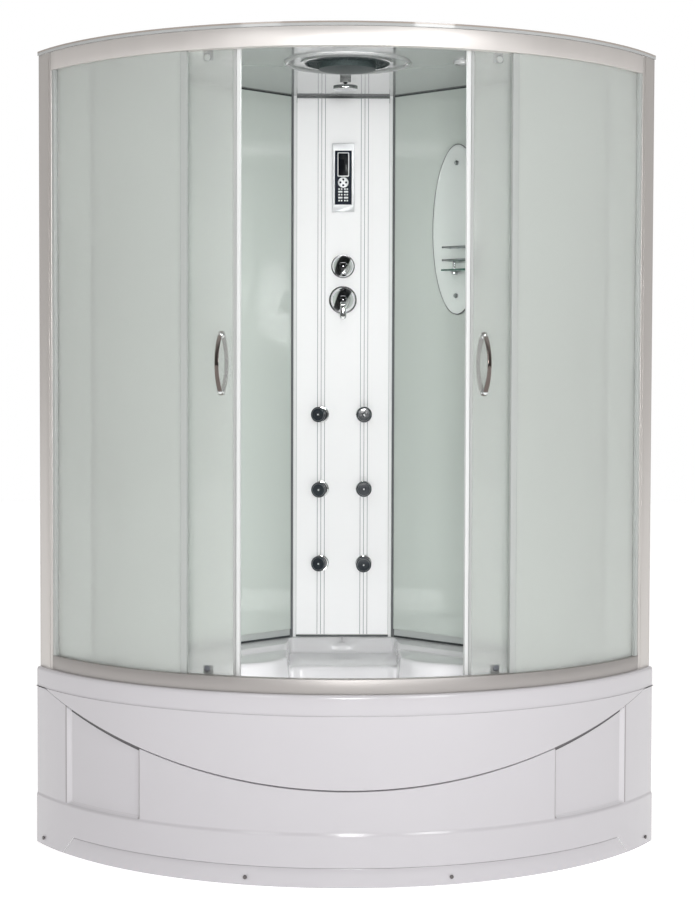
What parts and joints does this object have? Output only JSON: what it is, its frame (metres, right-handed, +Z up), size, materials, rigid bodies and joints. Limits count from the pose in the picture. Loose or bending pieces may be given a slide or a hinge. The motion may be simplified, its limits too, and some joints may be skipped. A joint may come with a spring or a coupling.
{
  "type": "shower cabin",
  "caption": "Corner steam shower cabin with a deep tub, curved sliding glass doors, curved apron, glossy rear walls and a massage column with jets, mixer and control unit.",
  "frame": {"origin": "on the floor, below the middle of the bounding box", "axes": "+Z up, front faces -Y, room corner at +Y, +X to the right as seen from the front"},
  "size_m": [1.6944, 1.3432, 2.15],
  "materials": {
    "acrylic_white": "smooth gloss white acrylic",
    "apron_white": "smooth gloss white acrylic",
    "frame_steel": "grey powder coat on steel tube",
    "zinc_steel": "zinc plated steel",
    "chrome": "bright polished chrome",
    "grey_plastic": "grey moulded plastic",
    "brass": "raw brass",
    "rail_aluminium": "satin anodised aluminium",
    "clear_glass": "pale green clear toughened glass",
    "seal_plastic": "pale translucent plastic",
    "wall_panel": "back-painted pale grey-green glass, glossy",
    "trim_grey": "grey plastic trim",
    "column_white": "white gloss coated aluminium",
    "bezel_silver": "silver gloss plastic",
    "panel_dark": "dark gloss plastic",
    "jet_dark": "dark grey gloss plastic",
    "mirror_glass": "silvered glass",
    "grille_dark": "dark grey plastic",
    "lamp_diffuser": "white translucent plastic",
    "bracket_steel": "brushed stainless steel",
    "roller_plastic": "white nylon"
  },
  "bodies": {
    "cabin": {"tub": "acrylic_white", "tub_frame": "frame_steel", "levelling_feet": "zinc_steel", "apron": "apron_white", "kick_panel": "apron_white", "apron_screws": "zinc_steel", "drain_cover": "chrome", "drain_trap": "grey_plastic", "bottom_rail": "rail_aluminium", "top_rail": "rail_aluminium", "left_post": "rail_aluminium", "right_post": "rail_aluminium", "left_fixed_glass": "clear_glass", "right_fixed_glass": "clear_glass", "fixed_glass_seals": "seal_plastic", "left_wall": "wall_panel", "right_wall": "wall_panel", "wall_trims": "trim_grey", "column": "column_white", "control_bezel": "bezel_silver", "control_panel": "panel_dark", "knob_roses": "chrome", "water_manifold": "brass", "jet_collars": "chrome", "oval_mirror": "mirror_glass", "mirror_studs": "chrome", "shelf_glass": "clear_glass", "shelf_rails": "chrome", "roof": "acrylic_white", "ceiling_grille": "grille_dark", "ceiling_lamps": "lamp_diffuser", "fan_housing": "grille_dark"},
    "left_door": {"left_door_glass": "clear_glass", "left_door_seals": "seal_plastic", "left_handle": "chrome", "left_roller_brackets": "bracket_steel"},
    "left_roller_1": {"left_wheel_1": "roller_plastic"},
    "left_roller_2": {"left_wheel_2": "roller_plastic"},
    "left_roller_3": {"left_wheel_3": "roller_plastic"},
    "left_roller_4": {"left_wheel_4": "roller_plastic"},
    "right_door": {"right_door_glass": "clear_glass", "right_door_seals": "seal_plastic", "right_handle": "chrome", "right_roller_brackets": "bracket_steel"},
    "right_roller_1": {"right_wheel_1": "roller_plastic"},
    "right_roller_2": {"right_wheel_2": "roller_plastic"},
    "right_roller_3": {"right_wheel_3": "roller_plastic"},
    "right_roller_4": {"right_wheel_4": "roller_plastic"},
    "diverter": {"diverter_knob": "chrome"},
    "mixer": {"mixer_dome": "chrome"},
    "lever": {"mixer_lever": "chrome"},
    "jet_1": {"jet_nozzle_1": "jet_dark"},
    "jet_2": {"jet_nozzle_2": "jet_dark"},
    "jet_3": {"jet_nozzle_3": "jet_dark"},
    "jet_4": {"jet_nozzle_4": "jet_dark"},
    "jet_5": {"jet_nozzle_5": "jet_dark"},
    "jet_6": {"jet_nozzle_6": "jet_dark"},
    "rose": {"rain_head": "chrome"},
    "fan": {"fan_rotor": "grille_dark"},
    "button": {"nav_button": "bezel_silver"}
  },
  "joints": [
    {"name": "left_door_slide", "type": "hinge", "parent": "cabin", "child": "left_door", "pos_m": [0, 0.30335, 1.3], "axis": [0, 0, 1], "range_deg": [-4.6, 17.1]},
    {"name": "right_door_slide", "type": "hinge", "parent": "cabin", "child": "right_door", "pos_m": [0, 0.30335, 1.3], "axis": [0, 0, -1], "range_deg": [-3.4, 18.3]},
    {"name": "left_roller_1_turn", "type": "hinge", "parent": "left_door", "child": "left_roller_1", "pos_m": [-0.35207, -0.5412, 0.5125], "axis": [-0.3848, -0.923, 0], "range_deg": [-1702.7, 459.5]},
    {"name": "left_roller_2_turn", "type": "hinge", "parent": "left_door", "child": "left_roller_2", "pos_m": [-0.59945, -0.38794, 0.5125], "axis": [-0.6551, -0.7555, 0], "range_deg": [-1702.7, 459.5]},
    {"name": "left_roller_3_turn", "type": "hinge", "parent": "left_door", "child": "left_roller_3", "pos_m": [-0.35207, -0.5412, 2.1155], "axis": [-0.3848, -0.923, 0], "range_deg": [-1702.7, 459.5]},
    {"name": "left_roller_4_turn", "type": "hinge", "parent": "left_door", "child": "left_roller_4", "pos_m": [-0.59945, -0.38794, 2.1155], "axis": [-0.6551, -0.7555, 0], "range_deg": [-1702.7, 459.5]},
    {"name": "right_roller_1_turn", "type": "hinge", "parent": "right_door", "child": "right_roller_1", "pos_m": [0.36968, -0.53364, 0.5125], "axis": [0.404, -0.9147, 0], "range_deg": [-340.2, 1822.1]},
    {"name": "right_roller_2_turn", "type": "hinge", "parent": "right_door", "child": "right_roller_2", "pos_m": [0.6138, -0.37523, 0.5125], "axis": [0.6708, -0.7416, 0], "range_deg": [-340.2, 1822.1]},
    {"name": "right_roller_3_turn", "type": "hinge", "parent": "right_door", "child": "right_roller_3", "pos_m": [0.36968, -0.53364, 2.1155], "axis": [0.404, -0.9147, 0], "range_deg": [-340.2, 1822.1]},
    {"name": "right_roller_4_turn", "type": "hinge", "parent": "right_door", "child": "right_roller_4", "pos_m": [0.6138, -0.37523, 2.1155], "axis": [0.6708, -0.7416, 0], "range_deg": [-340.2, 1822.1]},
    {"name": "diverter_turn", "type": "hinge", "parent": "cabin", "child": "diverter", "pos_m": [0, 0.48969, 1.614], "axis": [0, -1, 0], "range_deg": [-60, 60]},
    {"name": "mixer_swivel", "type": "hinge", "parent": "cabin", "child": "mixer", "pos_m": [0, 0.48969, 1.511], "axis": [0, -1, 0], "range_deg": [-45, 45]},
    {"name": "lever_tilt", "type": "hinge", "parent": "mixer", "child": "lever", "pos_m": [0, 0.45369, 1.507], "axis": [-1, 0, 0], "range_deg": [0, 15]},
    {"name": "jet_1_tilt", "type": "hinge", "parent": "cabin", "child": "jet_1", "pos_m": [-0.066, 0.48969, 1.16], "axis": [0, 0, 1], "range_deg": [0, 44]},
    {"name": "jet_2_tilt", "type": "hinge", "parent": "cabin", "child": "jet_2", "pos_m": [0.066, 0.48969, 1.16], "axis": [0, 0, 1], "range_deg": [-22, 22]},
    {"name": "jet_3_tilt", "type": "hinge", "parent": "cabin", "child": "jet_3", "pos_m": [-0.066, 0.48969, 0.931], "axis": [0, 0, 1], "range_deg": [-5, 39]},
    {"name": "jet_4_tilt", "type": "hinge", "parent": "cabin", "child": "jet_4", "pos_m": [0.066, 0.48969, 0.931], "axis": [0, 0, 1], "range_deg": [-22, 22]},
    {"name": "jet_5_tilt", "type": "hinge", "parent": "cabin", "child": "jet_5", "pos_m": [-0.066, 0.48969, 0.702], "axis": [0, 0, 1], "range_deg": [-5, 39]},
    {"name": "jet_6_tilt", "type": "hinge", "parent": "cabin", "child": "jet_6", "pos_m": [0.066, 0.48969, 0.702], "axis": [1, 0, 0], "range_deg": [-32, 12]},
    {"name": "rose_tilt", "type": "hinge", "parent": "cabin", "child": "rose", "pos_m": [0, 0.14, 2.124], "axis": [1, 0, 0], "range_deg": [-12, 12]},
    {"name": "fan_spin", "type": "hinge", "parent": "cabin", "child": "fan", "pos_m": [0, -0.14, 2.138], "axis": [0, 0, 1], "continuous": true},
    {"name": "button_press", "type": "slide", "parent": "cabin", "child": "button", "axis": [0, 1, 0], "range_m": [0, 0.0015], "stiffness_N_per_m": 900}
  ],
  "couplings": [
    {"joint": "left_roller_1_turn", "follows": "left_door_slide", "ratio": -99.457},
    {"joint": "left_roller_2_turn", "follows": "left_door_slide", "ratio": -99.457},
    {"joint": "left_roller_3_turn", "follows": "left_door_slide", "ratio": -99.457},
    {"joint": "left_roller_4_turn", "follows": "left_door_slide", "ratio": -99.457},
    {"joint": "right_roller_1_turn", "follows": "right_door_slide", "ratio": 99.457},
    {"joint": "right_roller_2_turn", "follows": "right_door_slide", "ratio": 99.457},
    {"joint": "right_roller_3_turn", "follows": "right_door_slide", "ratio": 99.457},
    {"joint": "right_roller_4_turn", "follows": "right_door_slide", "ratio": 99.457}
  ]
}
